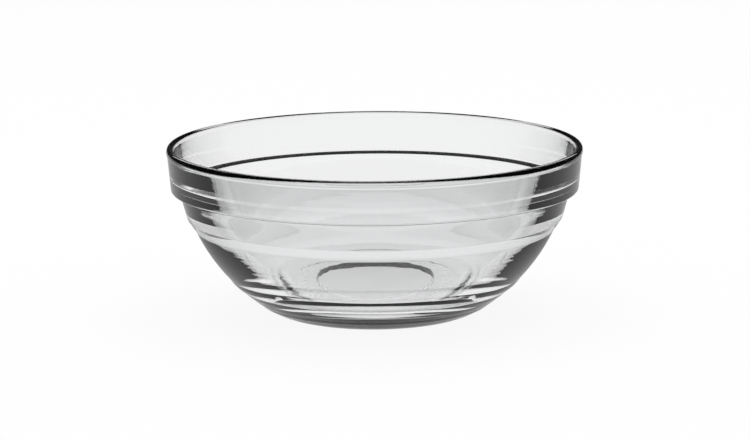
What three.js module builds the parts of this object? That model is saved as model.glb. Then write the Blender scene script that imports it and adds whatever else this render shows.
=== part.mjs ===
// A stacking bowl of clear pressed glass, made in one piece.
// Millimetres, +Z up, with the origin in the middle of the foot.
import * as THREE from "three";

// Rim and stacking band
const rimDiameter = 170;
const bowlHeight = 69.5;
const lipThickness = 3.0;
const lipRise = 2.0;
const bandHeight = 18;
const bandSetBack = 0.4;
const bandDraft = 1.36;
const bandEdgeRadius = 1.0;

// Shoulder under the band: a collar that starts upright and leans in, then a chamfer
const ledgeWidth = 3.7;
const collarHeight = 11.15;
const collarDraft = 2.8;
const collarNeck = 1.9;
const chamferHeight = 4.7;
const chamferDraft = 3.25;

// Round body and the ribs moulded round its lower part, from the lowest rib up
const bodyBulge = 3.1;
const heelRadius = 44.9;
const heelHeight = 3.4;
const ribWidths = [3.65, 4.8, 4.65, 6.65];
const ribBulges = [0.22, 0.11, 0.12, 0.4];

// Foot ring and the recess inside it
const footRadius = 33.6;
const footWidth = 8.5;
const recessDepth = 3.0;
const recessDraft = 0.25;

// Glass thickness and the inside: tilts from upright, and how far each curve follows them
const shoulderWall = 5.1;
const wallTiltDegrees = 21.5;
const wallLead = 13.85;
const shoulderTiltDegrees = 31.3;
const shoulderLeadUp = 6.9;
const shoulderLeadDown = 14.7;
const floorLevel = 9.97;
const floorInset = 3.4;
const floorLead = 3.1;

// Fineness of the faceted solid
const turnSegments = 72;
const ribSteps = 2;
const bodySteps = 6;
const collarSteps = 3;
const edgeSteps = 3;
const heelSteps = 4;
const lipSteps = 12;
const upperWallSteps = 6;
const lowerWallSteps = 9;

const point = (radius, height) => new THREE.Vector2(radius, height);

// Circle through two points that stands off their chord by the bulge, on the side away from the axis
function bulgedArc(start, end, bulge) {
  const chord = end.clone().sub(start);
  const outward = point(chord.y, -chord.x).normalize();
  const radius = (chord.lengthSq() / 4 + bulge * bulge) / (2 * bulge);
  const centre = start.clone().lerp(end, 0.5).addScaledVector(outward, bulge - radius);
  const startAngle = start.clone().sub(centre).angle();
  const sweep = 2 * Math.asin(chord.length() / 2 / radius);
  const at = (turn) => point(
    centre.x + radius * Math.cos(startAngle + turn),
    centre.y + radius * Math.sin(startAngle + turn),
  );
  return { at, sweep, radius };
}

// Points of an arc after its start, up to and including its end
function arcPoints(arc, from, to, steps) {
  const points = [];
  for (let step = 1; step <= steps; step += 1) {
    points.push(arc.at(from + (to - from) * step / steps));
  }
  return points;
}

// Points of a quadratic curve after its start, up to and including its end
function curvePoints(start, control, end, steps) {
  return new THREE.QuadraticBezierCurve(start, control, end).getPoints(steps).slice(1);
}

// Points of a cubic curve after its start, up to and including its end
function bendPoints(start, leave, arrive, end, steps) {
  return new THREE.CubicBezierCurve(start, leave, arrive, end).getPoints(steps).slice(1);
}

// Outline of the underside, from the axis to the foot's outer edge
function undersideOutline() {
  const recessRadius = footRadius - footWidth;
  return [
    point(0, recessDepth),
    point(recessRadius - recessDraft, recessDepth),
    point(recessRadius, 0),
    point(footRadius, 0),
  ];
}

// Corners that the outside and the inside share
const rimRadius = rimDiameter / 2;
const ledgeLevel = bowlHeight - bandHeight;
const bandTopRadius = rimRadius - bandSetBack;
const bandEdge = point(bandTopRadius - bandDraft, ledgeLevel);
const collarTop = point(bandEdge.x - ledgeWidth, ledgeLevel);
const collarFoot = point(collarTop.x - collarDraft, ledgeLevel - collarHeight);
const shoulderFoot = point(collarFoot.x - chamferDraft, collarFoot.y - chamferHeight);
const heel = point(heelRadius, heelHeight);
const lipRadius = lipThickness / 2;
const lipCentre = point(rimRadius - lipRadius, bowlHeight - lipRise);
const lipAt = (angle) => point(
  lipCentre.x + lipRadius * Math.cos(angle),
  lipCentre.y + lipRise * Math.sin(angle),
);
const lipStart = -Math.acos((lipRadius - bandSetBack) / lipRadius);

// Outline of the outside, from the foot up to the band's top
function outsideOutline() {
  const body = bulgedArc(heel, shoulderFoot, bodyBulge);
  const heelSlope = body.at(0).sub(body.at(-0.01));
  const heelControl = point(heel.x - heel.y * heelSlope.x / heelSlope.y, 0);
  const outline = curvePoints(point(footRadius, 0), heelControl, heel, heelSteps);
  let turn = 0;
  ribWidths.forEach((width, rib) => {
    const ribEnd = turn + width / body.radius;
    const arc = bulgedArc(body.at(turn), body.at(ribEnd), ribBulges[rib]);
    outline.push(...arcPoints(arc, 0, arc.sweep, ribSteps));
    turn = ribEnd;
  });
  outline.push(...arcPoints(body, turn, body.sweep, bodySteps));
  outline.push(collarFoot);
  const neck = point(collarTop.x, collarTop.y - collarNeck);
  outline.push(...curvePoints(collarFoot, neck, collarTop, collarSteps));
  const bandSide = lipAt(lipStart).sub(bandEdge).setLength(bandEdgeRadius);
  const edgeStart = point(bandEdge.x - bandEdgeRadius, ledgeLevel);
  outline.push(edgeStart);
  outline.push(...curvePoints(edgeStart, bandEdge, bandEdge.clone().add(bandSide), edgeSteps));
  return outline;
}

// Outline of the rounded lip and the smooth inside, down to the middle of the floor
function insideOutline() {
  const wallSlope = Math.tan(THREE.MathUtils.degToRad(wallTiltDegrees));
  const shoulderSlope = Math.tan(THREE.MathUtils.degToRad(shoulderTiltDegrees));
  const lipEnd = Math.PI - Math.atan(wallSlope * lipRise / lipRadius);
  const outline = [];
  for (let step = 0; step <= lipSteps; step += 1) {
    outline.push(lipAt(lipStart + (lipEnd - lipStart) * step / lipSteps));
  }
  const lipFoot = outline[outline.length - 1];
  const shoulder = point(shoulderFoot.x - shoulderWall, shoulderFoot.y);
  const floorEdge = point(heel.x - floorInset, floorLevel);
  const belowLip = point(lipFoot.x - wallLead * wallSlope, lipFoot.y - wallLead);
  const aboveShoulder = point(shoulder.x + shoulderLeadUp * shoulderSlope, shoulder.y + shoulderLeadUp);
  const belowShoulder = point(shoulder.x - shoulderLeadDown * shoulderSlope, shoulder.y - shoulderLeadDown);
  const besideFloor = point(floorEdge.x + floorLead, floorLevel);
  outline.push(...bendPoints(lipFoot, belowLip, aboveShoulder, shoulder, upperWallSteps));
  outline.push(...bendPoints(shoulder, belowShoulder, besideFloor, floorEdge, lowerWallSteps));
  outline.push(point(0, floorLevel));
  return outline;
}

// Clear tempered glass
const glass = new THREE.MeshStandardMaterial({
  color: 0xf1f4f3,
  roughness: 0.03,
  metalness: 0,
  transparent: true,
  opacity: 0.35,
});

const outline = [...undersideOutline(), ...outsideOutline(), ...insideOutline()];
const bowl = new THREE.Mesh(new THREE.LatheGeometry(outline, turnSegments), glass);
bowl.name = "bowl";
bowl.rotation.x = Math.PI / 2;

const part = new THREE.Group();
part.add(bowl);

export default part;
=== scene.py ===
"""A stacking bowl of clear pressed glass on a white studio floor, in metres, +Z up."""
import math

import bpy
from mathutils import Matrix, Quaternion, Vector


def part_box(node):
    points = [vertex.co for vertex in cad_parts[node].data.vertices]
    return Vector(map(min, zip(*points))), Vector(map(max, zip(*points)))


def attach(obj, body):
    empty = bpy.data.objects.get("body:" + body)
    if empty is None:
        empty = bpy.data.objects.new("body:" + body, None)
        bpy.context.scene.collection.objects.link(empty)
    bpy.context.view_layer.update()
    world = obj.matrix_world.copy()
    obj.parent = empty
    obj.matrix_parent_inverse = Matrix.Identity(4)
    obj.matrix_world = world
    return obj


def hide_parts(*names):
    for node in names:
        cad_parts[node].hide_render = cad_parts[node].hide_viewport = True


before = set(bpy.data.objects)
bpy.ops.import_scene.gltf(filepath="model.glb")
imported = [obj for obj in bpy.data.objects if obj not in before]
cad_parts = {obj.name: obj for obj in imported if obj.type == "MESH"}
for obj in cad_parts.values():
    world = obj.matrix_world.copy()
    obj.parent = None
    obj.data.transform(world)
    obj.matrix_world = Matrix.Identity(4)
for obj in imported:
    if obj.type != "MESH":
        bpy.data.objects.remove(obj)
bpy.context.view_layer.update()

MM = 0.001

# Rim and stacking band, with the rim's size taken from the frame
rim_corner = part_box("bowl")[1]
RIM_RADIUS = rim_corner.x
BOWL_HEIGHT = rim_corner.z
LIP_RADIUS = 1.5 * MM
LIP_RISE = 2.0 * MM
BAND_HEIGHT = 18.0 * MM
BAND_SET_BACK = 0.4 * MM
BAND_DRAFT = 1.36 * MM
BAND_EDGE_RADIUS = 1.0 * MM

# Shoulder under the band
LEDGE_WIDTH = 3.7 * MM
COLLAR_HEIGHT = 11.15 * MM
COLLAR_DRAFT = 2.8 * MM
COLLAR_NECK = 1.9 * MM
CHAMFER_HEIGHT = 4.7 * MM
CHAMFER_DRAFT = 3.25 * MM

# Round body and the ribs on its lower part, from the lowest rib up
BODY_BULGE = 3.1 * MM
HEEL_RADIUS = 44.9 * MM
HEEL_HEIGHT = 3.4 * MM
RIB_WIDTHS = (3.65 * MM, 4.8 * MM, 4.65 * MM, 6.65 * MM)
RIB_BULGES = (0.22 * MM, 0.11 * MM, 0.12 * MM, 0.4 * MM)

# Foot ring, its moulded grip and the recess inside it
FOOT_RADIUS = 33.6 * MM
FOOT_WIDTH = 8.5 * MM
RECESS_DEPTH = 3.0 * MM
RECESS_DRAFT = 0.25 * MM
GRIP_COUNT = 108
GRIP_DEPTH = 0.06 * MM
GRIP_MARGIN = 3.4 * MM
COLUMNS_PER_GRIP = 4

# Glass thickness and the inside: tilts from upright, and how far each curve follows them
SHOULDER_WALL = 5.1 * MM
WALL_TILT = math.radians(21.5)
WALL_LEAD = 13.85 * MM
SHOULDER_TILT = math.radians(31.3)
SHOULDER_LEAD_UP = 6.9 * MM
SHOULDER_LEAD_DOWN = 14.7 * MM
FLOOR_LEAD = 3.1 * MM
FLOOR_LEVEL = 9.97 * MM
FLOOR_RADIUS = 41.5 * MM

# How finely edges and curves are cut
CORNER_RADIUS = 0.16 * MM
CORNER_STEPS = 4
SUPPORT = 0.08 * MM
RECESS_STEPS = 2
FOOT_STEPS = 8
HEEL_STEPS = 12
RIB_STEPS = 7
BODY_STEPS = 16
CHAMFER_STEPS = 2
COLLAR_STEPS = 10
LEDGE_STEPS = 1
BAND_STEPS = 3
LIP_STEPS = 24
UPPER_WALL_STEPS = 26
LOWER_WALL_STEPS = 30
FLOOR_STEPS = 2
TANGENT_TURN = 0.01
LEAST_SPACING = 0.02 * MM
SEAM_GAP = 0.005 * MM

# Glass, the faint marks of its mould and the worn underside of its foot
GLASS_COLOUR = (0.935, 0.938, 0.942, 1)
GLASS_IOR = 1.52
WAVE_SCALE = (45, 45, 45)
WAVE_DEPTH = 0.09 * MM
RING_SCALE = (12, 12, 420)
RING_DEPTH = 0.02 * MM
WORN_ROUGHNESS = 0.05
WORN_FULL_BELOW = 0.3 * MM
WORN_NONE_ABOVE = 0.6 * MM

# White table, with how it looks in and through the glass
FLOOR_GAP = 0.05 * MM
FLOOR_REACH = 8.0
FLOOR_COLOUR = (0.9, 0.9, 0.9, 1)
FLOOR_GLOW = 0.92
TABLE_RADIUS = 0.8
TABLE_FADE = 0.5
REFLECTED_LEVEL = 0.6
SHADE_RADIUS = 120 * MM
SHADE_WIDTH = 80 * MM
SHADE_DEPTH = 0.3

# Room light, lamp and camera
WHITE = (1, 1, 1, 1)
ROOM_LEVEL = 0.03
WORLD_LEVEL = 0.5
LAMP_PLACE = (0, 0.2, 1.4)
LAMP_SIZE = 1.6
LAMP_POWER = 16
FOCUS_HEIGHT = 38.04 * MM
CAMERA_DISTANCE = 1.638
CAMERA_ELEVATION = math.radians(10.9)
CAMERA_ROLL = math.radians(-0.35)
CAMERA_LENS = 192.0
SENSOR_WIDTH = 36.0


def point(radius, height):
    """A point of the half section."""
    return Vector((radius, height))


class BulgedArc:
    """Arc between two points of the section that stands off their chord, away from the axis."""

    def __init__(self, start, end, bulge):
        chord = end - start
        outward = point(chord.y, -chord.x).normalized()
        self.radius = (chord.length_squared / 4 + bulge * bulge) / (2 * bulge)
        self.centre = (start + end) / 2 + outward * (bulge - self.radius)
        from_centre = start - self.centre
        self.start_angle = math.atan2(from_centre.y, from_centre.x)
        self.sweep = 2 * math.asin(chord.length / 2 / self.radius)

    def at(self, turn):
        angle = self.start_angle + turn
        return self.centre + self.radius * point(math.cos(angle), math.sin(angle))

    def points(self, start, end, steps):
        return [self.at(start + (end - start) * step / steps) for step in range(steps + 1)]


def curve_points(start, control, end, steps):
    """Points of a quadratic curve, both ends included."""
    points = []
    for step in range(steps + 1):
        t = step / steps
        points.append(start * (1 - t) ** 2 + control * 2 * t * (1 - t) + end * t ** 2)
    return points


def bend_points(start, leave, arrive, end, steps):
    """Points of a cubic curve with a handle at each end, both ends included."""
    points = []
    for step in range(steps + 1):
        t = step / steps
        near = start * (1 - t) ** 3 + leave * 3 * t * (1 - t) ** 2
        points.append(near + arrive * 3 * t ** 2 * (1 - t) + end * t ** 3)
    return points


def crisp(points):
    """The same stretch with a row close to each end, so that smooth shading keeps its edges."""
    first = points[0] + (points[1] - points[0]).normalized() * SUPPORT
    last = points[-1] + (points[-2] - points[-1]).normalized() * SUPPORT
    return [points[0], first, *points[1:-1], last, points[-1]]


def line_points(start, end, steps):
    """Points of a straight stretch, both ends included."""
    return crisp([start.lerp(end, step / steps) for step in range(steps + 1)])


def rounded_corner(before, corner, after, radius=CORNER_RADIUS):
    """A small round edge at a corner of the section."""
    start = corner + (before - corner).normalized() * radius
    end = corner + (after - corner).normalized() * radius
    return curve_points(start, corner, end, CORNER_STEPS)


def bowl_section():
    """The bowl's half section, from the axis under the foot round to the axis on the floor."""
    recess_radius = FOOT_RADIUS - FOOT_WIDTH
    recess_middle = point(0, RECESS_DEPTH)
    recess_corner = point(recess_radius - RECESS_DRAFT, RECESS_DEPTH)
    foot_inner = point(recess_radius, 0)
    foot_outer = point(FOOT_RADIUS, 0)
    ledge_level = BOWL_HEIGHT - BAND_HEIGHT
    band_top_radius = RIM_RADIUS - BAND_SET_BACK
    band_edge = point(band_top_radius - BAND_DRAFT, ledge_level)
    collar_top = point(band_edge.x - LEDGE_WIDTH, ledge_level)
    collar_foot = point(collar_top.x - COLLAR_DRAFT, ledge_level - COLLAR_HEIGHT)
    shoulder_foot = point(collar_foot.x - CHAMFER_DRAFT, collar_foot.y - CHAMFER_HEIGHT)
    heel = point(HEEL_RADIUS, HEEL_HEIGHT)
    lip_centre = point(RIM_RADIUS - LIP_RADIUS, BOWL_HEIGHT - LIP_RISE)

    def lip_at(angle):
        return lip_centre + point(LIP_RADIUS * math.cos(angle), LIP_RISE * math.sin(angle))

    rows = []

    # Underside
    top_corner = rounded_corner(recess_middle, recess_corner, foot_inner)
    low_corner = rounded_corner(recess_corner, foot_inner, foot_outer)
    rows += line_points(recess_middle, top_corner[0], RECESS_STEPS) + top_corner
    rows += line_points(top_corner[-1], low_corner[0], RECESS_STEPS) + low_corner
    rows += line_points(low_corner[-1], foot_outer, FOOT_STEPS)

    # Heel, which runs into the body without a kink, and ribs
    body = BulgedArc(heel, shoulder_foot, BODY_BULGE)
    heel_slope = body.at(0) - body.at(-TANGENT_TURN)
    heel_control = point(heel.x - heel.y * heel_slope.x / heel_slope.y, 0)
    rows += crisp(curve_points(foot_outer, heel_control, heel, HEEL_STEPS))
    turn = 0.0
    for width, bulge in zip(RIB_WIDTHS, RIB_BULGES):
        rib_end = turn + width / body.radius
        rib = BulgedArc(body.at(turn), body.at(rib_end), bulge)
        rows += crisp(rib.points(0, rib.sweep, RIB_STEPS))
        turn = rib_end

    # Body and shoulder
    rows += crisp(body.points(turn, body.sweep, BODY_STEPS))
    collar_neck = point(collar_top.x, collar_top.y - COLLAR_NECK)
    collar_rows = curve_points(collar_foot, collar_neck, collar_top, COLLAR_STEPS)
    chamfer_edge = rounded_corner(shoulder_foot, collar_foot, collar_rows[1])
    ledge_corner = rounded_corner(collar_rows[-2], collar_top, band_edge)
    rows += line_points(shoulder_foot, chamfer_edge[0], CHAMFER_STEPS) + chamfer_edge
    rows += crisp([chamfer_edge[-1], *collar_rows[1:-1], ledge_corner[0]])

    # Ledge and band
    lip_start = -math.acos((LIP_RADIUS - BAND_SET_BACK) / LIP_RADIUS)
    lip_foot = lip_at(lip_start)
    band_corner = rounded_corner(collar_top, band_edge, lip_foot, BAND_EDGE_RADIUS)
    rows += ledge_corner + line_points(ledge_corner[-1], band_corner[0], LEDGE_STEPS)
    rows += band_corner + line_points(band_corner[-1], lip_foot, BAND_STEPS)

    # Lip and inside
    lip_end = math.pi - math.atan(math.tan(WALL_TILT) * LIP_RISE / LIP_RADIUS)
    lip_sweep = lip_end - lip_start
    rows += [lip_at(lip_start + lip_sweep * step / LIP_STEPS) for step in range(LIP_STEPS + 1)]
    wall_top = rows[-1]
    shoulder = point(shoulder_foot.x - SHOULDER_WALL, shoulder_foot.y)
    floor_edge = point(FLOOR_RADIUS, FLOOR_LEVEL)
    below_lip = wall_top - WALL_LEAD * point(math.tan(WALL_TILT), 1)
    along_shoulder = point(math.tan(SHOULDER_TILT), 1)
    above_shoulder = shoulder + SHOULDER_LEAD_UP * along_shoulder
    below_shoulder = shoulder - SHOULDER_LEAD_DOWN * along_shoulder
    beside_floor = floor_edge + point(FLOOR_LEAD, 0)
    rows += bend_points(wall_top, below_lip, above_shoulder, shoulder, UPPER_WALL_STEPS)
    rows += bend_points(shoulder, below_shoulder, beside_floor, floor_edge, LOWER_WALL_STEPS)
    rows += line_points(floor_edge, point(0, FLOOR_LEVEL), FLOOR_STEPS)

    return without_doubles(rows)


def without_doubles(rows):
    """The section's rows with those that repeat the last one left out."""
    kept = [rows[0]]
    for row in rows[1:]:
        if (row - kept[-1]).length > LEAST_SPACING:
            kept.append(row)
    return kept


def section_object(rows):
    """The half section as a chain of edges in the XZ plane, with a mask for the foot's grip."""
    mesh = bpy.data.meshes.new("bowl")
    corners = [(row.x, 0, row.y) for row in rows]
    mesh.from_pydata(corners, [(i, i + 1) for i in range(len(rows) - 1)], [])
    mask = mesh.attributes.new("grip", "FLOAT", "POINT")
    grip_from = FOOT_RADIUS - FOOT_WIDTH + GRIP_MARGIN
    on_foot = [row.y < CORNER_RADIUS / 2 and grip_from < row.x < FOOT_RADIUS for row in rows]
    mask.data.foreach_set("value", [1.0 if on else 0.0 for on in on_foot])
    bowl = bpy.data.objects.new("bowl_glass", mesh)
    bpy.context.scene.collection.objects.link(bowl)
    return bowl


class Tree:
    """A small helper that adds nodes to a tree and joins them."""

    def __init__(self, nodes, links):
        self.nodes = nodes
        self.links = links

    def add(self, kind, **settings):
        node = self.nodes.new(kind)
        for name, value in settings.items():
            setattr(node, name, value)
        return node

    def feed(self, source, target):
        if isinstance(source, bpy.types.NodeSocket):
            self.links.new(source, target)
        else:
            target.default_value = source

    def math(self, operation, first, second=0.0):
        node = self.add("ShaderNodeMath", operation=operation)
        self.feed(first, node.inputs[0])
        self.feed(second, node.inputs[1])
        return node.outputs[0]

    def ramp(self, value, start, end, low, high, course="LINEAR"):
        """A value that goes from low to high between a start and an end, and stays there beyond them."""
        node = self.add("ShaderNodeMapRange", interpolation_type=course)
        self.feed(value, node.inputs["Value"])
        node.inputs["From Min"].default_value = start
        node.inputs["From Max"].default_value = end
        node.inputs["To Min"].default_value = low
        node.inputs["To Max"].default_value = high
        return node.outputs["Result"]


def read_row(tree, section, row, kind, value):
    """A value of the section, read at one of its rows."""
    sample = tree.add("GeometryNodeSampleIndex", data_type=kind, domain="POINT")
    tree.feed(section, sample.inputs["Geometry"])
    tree.feed(value, sample.inputs["Value"])
    tree.feed(row, sample.inputs["Index"])
    return sample.outputs["Value"]


def turning_tree():
    """Geometry Nodes that turn a half section into a closed body, with a grip round its foot."""
    group = bpy.data.node_groups.new("turned_bowl", "GeometryNodeTree")
    sockets = {}
    for name, kind in (
        ("Section", "NodeSocketGeometry"),
        ("Columns", "NodeSocketInt"),
        ("Grip Count", "NodeSocketInt"),
        ("Grip Depth", "NodeSocketFloat"),
        ("Glass", "NodeSocketMaterial"),
    ):
        sockets[name] = group.interface.new_socket(name, in_out="INPUT", socket_type=kind)
    group.interface.new_socket("Bowl", in_out="OUTPUT", socket_type="NodeSocketGeometry")
    tree = Tree(group.nodes, group.links)
    given = tree.add("NodeGroupInput").outputs
    result = tree.add("NodeGroupOutput")

    # A grid with one column for each turn of the section, and one more that closes it
    size = tree.add("GeometryNodeAttributeDomainSize", component="MESH")
    tree.feed(given["Section"], size.inputs[0])
    row_count = size.outputs["Point Count"]
    grid = tree.add("GeometryNodeMeshGrid")
    tree.feed(tree.math("ADD", given["Columns"], 1.0), grid.inputs["Vertices X"])
    tree.feed(row_count, grid.inputs["Vertices Y"])

    # Column and row of each grid point, counted from its middle so that no rounding can slip
    index = tree.add("GeometryNodeInputIndex").outputs[0]
    column = tree.math("FLOOR", tree.math("DIVIDE", tree.math("ADD", index, 0.5), row_count))
    row = tree.math("SUBTRACT", index, tree.math("MULTIPLY", column, row_count))
    position = tree.add("GeometryNodeInputPosition").outputs[0]
    place = read_row(tree, given["Section"], row, "FLOAT_VECTOR", position)
    named = tree.add("GeometryNodeInputNamedAttribute", data_type="FLOAT")
    named.inputs["Name"].default_value = "grip"
    mask = read_row(tree, given["Section"], row, "FLOAT", named.outputs["Attribute"])

    # Place of each point round the axis, with the grip's notches cut up into the foot
    part = tree.add("ShaderNodeSeparateXYZ")
    tree.feed(place, part.inputs[0])
    radius = part.outputs["X"]
    angle = tree.math("MULTIPLY", tree.math("DIVIDE", column, given["Columns"]), math.tau)
    wave = tree.math("COSINE", tree.math("MULTIPLY", angle, given["Grip Count"]))
    notch = tree.math("MULTIPLY", tree.math("SUBTRACT", 1.0, wave), 0.5)
    notch = tree.math("MULTIPLY", tree.math("MULTIPLY", notch, mask), given["Grip Depth"])
    turned = tree.add("ShaderNodeCombineXYZ")
    tree.feed(tree.math("MULTIPLY", radius, tree.math("COSINE", angle)), turned.inputs["X"])
    tree.feed(tree.math("MULTIPLY", radius, tree.math("SINE", angle)), turned.inputs["Y"])
    tree.feed(tree.math("ADD", part.outputs["Z"], notch), turned.inputs["Z"])

    # One closed, smooth body of glass
    placed = tree.add("GeometryNodeSetPosition")
    tree.feed(grid.outputs["Mesh"], placed.inputs["Geometry"])
    tree.feed(turned.outputs[0], placed.inputs["Position"])
    closed = tree.add("GeometryNodeMergeByDistance")
    closed.inputs["Distance"].default_value = SEAM_GAP
    tree.feed(placed.outputs[0], closed.inputs["Geometry"])
    smooth = tree.add("GeometryNodeSetShadeSmooth")
    tree.feed(closed.outputs[0], smooth.inputs["Geometry"])
    realized = tree.add("GeometryNodeRealizeInstances")
    tree.feed(smooth.outputs[0], realized.inputs["Geometry"])
    coated = tree.add("GeometryNodeSetMaterial")
    tree.feed(realized.outputs[0], coated.inputs["Geometry"])
    tree.feed(given["Glass"], coated.inputs["Material"])
    tree.feed(coated.outputs[0], result.inputs[0])
    return group, sockets


def turned_bowl(glass):
    """The bowl's glass as one plain closed mesh."""
    bowl = section_object(bowl_section())
    group, sockets = turning_tree()
    modifier = bowl.modifiers.new("turn", "NODES")
    modifier.node_group = group
    modifier[sockets["Columns"].identifier] = GRIP_COUNT * COLUMNS_PER_GRIP
    modifier[sockets["Grip Count"].identifier] = GRIP_COUNT
    modifier[sockets["Grip Depth"].identifier] = GRIP_DEPTH
    modifier[sockets["Glass"].identifier] = glass
    evaluated = bowl.evaluated_get(bpy.context.evaluated_depsgraph_get())
    mesh = bpy.data.meshes.new_from_object(evaluated)
    bowl.modifiers.clear()
    section = bowl.data
    bowl.data = mesh
    bpy.data.meshes.remove(section)
    mesh.name = "bowl_glass"
    return bowl


def noise_bump(tree, place, scale, depth):
    """Smooth noise as a bump, with its own fineness along each axis."""
    stretched = tree.add("ShaderNodeMapping", vector_type="POINT")
    stretched.inputs["Scale"].default_value = scale
    tree.feed(place, stretched.inputs["Vector"])
    noise = tree.add("ShaderNodeTexNoise")
    noise.inputs["Scale"].default_value = 1.0
    noise.inputs["Detail"].default_value = 1.0
    tree.feed(stretched.outputs[0], noise.inputs["Vector"])
    bump = tree.add("ShaderNodeBump")
    bump.inputs["Strength"].default_value = 1.0
    bump.inputs["Distance"].default_value = depth
    tree.feed(noise.outputs["Fac"], bump.inputs["Height"])
    return bump


def clear_glass():
    """Clear pressed glass: faint waves from the mould, and a foot worn matt."""
    material = bpy.data.materials.new("clear_glass")
    material.use_nodes = True
    tree = Tree(material.node_tree.nodes, material.node_tree.links)
    shader = tree.nodes["Principled BSDF"]
    shader.inputs["Base Color"].default_value = GLASS_COLOUR
    shader.inputs["Transmission Weight"].default_value = 1.0
    shader.inputs["IOR"].default_value = GLASS_IOR

    place = tree.add("ShaderNodeTexCoord").outputs["Object"]
    waves = noise_bump(tree, place, WAVE_SCALE, WAVE_DEPTH)
    rings = noise_bump(tree, place, RING_SCALE, RING_DEPTH)
    tree.feed(waves.outputs["Normal"], rings.inputs["Normal"])
    tree.feed(rings.outputs["Normal"], shader.inputs["Normal"])

    part = tree.add("ShaderNodeSeparateXYZ")
    tree.feed(place, part.inputs[0])
    height = part.outputs["Z"]
    worn = tree.ramp(height, WORN_FULL_BELOW, WORN_NONE_ABOVE, WORN_ROUGHNESS, 0.0)
    tree.feed(worn, shader.inputs["Roughness"])
    return material


def kinds_of_ray(tree):
    """Sockets that are one for rays from the camera, for reflections and for rays through glass."""
    ray = tree.add("ShaderNodeLightPath").outputs
    through = ray["Is Transmission Ray"]
    reflected = tree.math("MULTIPLY", ray["Is Glossy Ray"], tree.math("SUBTRACT", 1.0, through))
    return ray["Is Camera Ray"], reflected, through


def table_in_glass(tree):
    """The table's brightness in the glass: a soft ring of shade near the bowl, fading out far away."""
    place = tree.add("ShaderNodeTexCoord").outputs["Object"]
    length = tree.add("ShaderNodeVectorMath", operation="LENGTH")
    tree.feed(place, length.inputs[0])
    away = length.outputs["Value"]
    fade = tree.ramp(away, TABLE_RADIUS, TABLE_RADIUS + TABLE_FADE, 1.0, ROOM_LEVEL, "SMOOTHSTEP")
    beside = tree.math("ABSOLUTE", tree.math("SUBTRACT", away, SHADE_RADIUS))
    shade = tree.ramp(beside, 0.0, SHADE_WIDTH, 1.0 - SHADE_DEPTH, 1.0, "SMOOTHSTEP")
    return tree.math("MULTIPLY", fade, shade)


def table_white():
    """White that stays white to the camera and through the glass, and keeps a soft shadow."""
    material = bpy.data.materials.new("white_floor")
    material.use_nodes = True
    tree = Tree(material.node_tree.nodes, material.node_tree.links)
    tree.nodes.remove(tree.nodes["Principled BSDF"])
    paint = tree.add("ShaderNodeBsdfDiffuse")
    paint.inputs["Color"].default_value = FLOOR_COLOUR
    glow = tree.add("ShaderNodeEmission")
    camera_ray, reflected, through = kinds_of_ray(tree)
    seen = tree.math("MAXIMUM", through, tree.math("MULTIPLY", reflected, REFLECTED_LEVEL))
    in_glass = tree.math("MULTIPLY", seen, table_in_glass(tree))
    tree.feed(tree.math("MAXIMUM", camera_ray, in_glass), glow.inputs["Strength"])
    by_glass = tree.math("MAXIMUM", reflected, through)
    share = tree.math("MAXIMUM", tree.math("MULTIPLY", camera_ray, FLOOR_GLOW), by_glass)
    mix = tree.add("ShaderNodeMixShader")
    tree.feed(share, mix.inputs[0])
    tree.feed(paint.outputs[0], mix.inputs[1])
    tree.feed(glow.outputs[0], mix.inputs[2])
    tree.feed(mix.outputs[0], tree.nodes["Material Output"].inputs["Surface"])
    return material


def white_floor():
    """The table, just under the foot."""
    mesh = bpy.data.meshes.new("floor")
    reach = FLOOR_REACH
    corners = [(-reach, -reach), (reach, -reach), (reach, reach), (-reach, reach)]
    mesh.from_pydata([(x, y, -FLOOR_GAP) for x, y in corners], [], [(0, 1, 2, 3)])
    mesh.materials.append(table_white())
    floor = bpy.data.objects.new("floor", mesh)
    bpy.context.scene.collection.objects.link(floor)


def studio_world():
    """White to the camera, a dim room to the glass, and a soft even light on the floor."""
    world = bpy.data.worlds.new("studio")
    bpy.context.scene.world = world
    world.use_nodes = True
    tree = Tree(world.node_tree.nodes, world.node_tree.links)
    camera_ray, reflected, through = kinds_of_ray(tree)
    by_glass = tree.math("MAXIMUM", reflected, through)
    plain = tree.ramp(by_glass, 0.0, 1.0, WORLD_LEVEL, ROOM_LEVEL)
    background = tree.nodes["Background"]
    tree.feed(tree.math("MAXIMUM", camera_ray, plain), background.inputs["Strength"])
    background.inputs["Color"].default_value = WHITE


def overhead_lamp():
    """One large soft lamp over the bowl, which doesn't show in the glass."""
    data = bpy.data.lights.new("overhead_lamp", "AREA")
    data.shape = "SQUARE"
    data.size = LAMP_SIZE
    data.energy = LAMP_POWER
    lamp = bpy.data.objects.new("overhead_lamp", data)
    lamp.location = LAMP_PLACE
    lamp.rotation_euler = (-Vector(LAMP_PLACE)).to_track_quat("-Z", "Y").to_euler()
    lamp.visible_glossy = False
    lamp.visible_transmission = False
    bpy.context.scene.collection.objects.link(lamp)


def camera():
    """Long lens at the photograph's viewing angle."""
    data = bpy.data.cameras.new("camera")
    data.sensor_width = SENSOR_WIDTH
    data.lens = CAMERA_LENS
    eye = bpy.data.objects.new("camera", data)
    away = Vector((0, -math.cos(CAMERA_ELEVATION), math.sin(CAMERA_ELEVATION)))
    eye.location = Vector((0, 0, FOCUS_HEIGHT)) + away * CAMERA_DISTANCE
    aim = (-away).to_track_quat("-Z", "Y")
    eye.rotation_euler = (aim @ Quaternion((0, 0, 1), CAMERA_ROLL)).to_euler()
    bpy.context.scene.collection.objects.link(eye)
    bpy.context.scene.camera = eye


camera()
bowl = turned_bowl(clear_glass())
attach(bowl, "root")
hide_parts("bowl")

white_floor()
studio_world()
overhead_lamp()
bpy.context.scene.view_settings.view_transform = "Standard"
